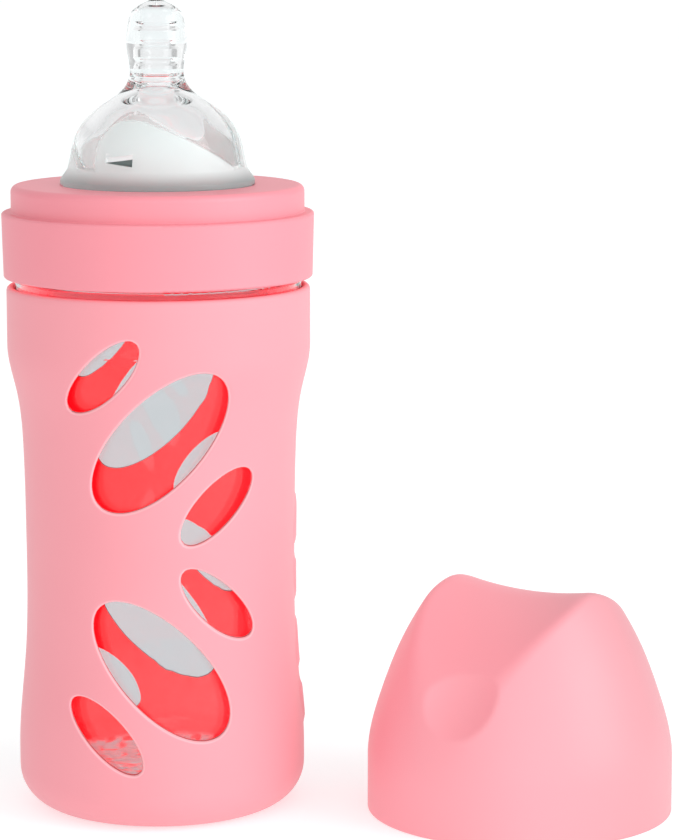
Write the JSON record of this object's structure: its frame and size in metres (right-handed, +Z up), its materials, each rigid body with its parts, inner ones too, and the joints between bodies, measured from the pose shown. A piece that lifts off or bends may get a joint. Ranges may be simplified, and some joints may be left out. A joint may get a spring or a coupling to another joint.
{
  "type": "baby bottle",
  "caption": "Glass feeding bottle in a windowed silicone sleeve, with a soft teat under a two-tier screw collar and a scooped dome travel cap standing beside it.",
  "frame": {"origin": "on the bottle's axis, at the level of the surface that the bottle and its cap stand on", "axes": "+Z up along the bottle's axis; -Y is the front, with the rising windows on the left of the upper group; +X towards the travel cap"},
  "size_m": [0.1467, 0.0797, 0.1778],
  "materials": {
    "bottle_glass": "clear pressed glass, polished",
    "sleeve_silicone": "soft matte pink silicone",
    "collar_plastic": "matte pink polypropylene",
    "teat_silicone": "clear silicone with frosted panels",
    "cap_plastic": "frosted, slightly see-through pink polypropylene"
  },
  "bodies": {
    "bottle": {"glass_bottle": "bottle_glass", "silicone_sleeve": "sleeve_silicone"},
    "teat": {"teat": "teat_silicone"},
    "collar": {"collar": "collar_plastic"},
    "cap": {"travel_cap": "cap_plastic"}
  },
  "joints": [
    {"name": "teat_rise", "type": "slide", "parent": "bottle", "child": "teat", "axis": [0, 0, 1], "range_m": [0, 0.00476]},
    {"name": "collar_turn", "type": "hinge", "parent": "teat", "child": "collar", "pos_m": [0, 0, 0.1378], "axis": [0, 0, 1], "range_deg": [0, 380]},
    {"name": "cap_lift", "type": "slide", "parent": "bottle", "child": "cap", "axis": [0, 0, 1], "range_m": [0, 0.185]}
  ],
  "couplings": [
    {"joint": "teat_rise", "follows": "collar_turn", "m_per_rad": 0.0007162}
  ]
}
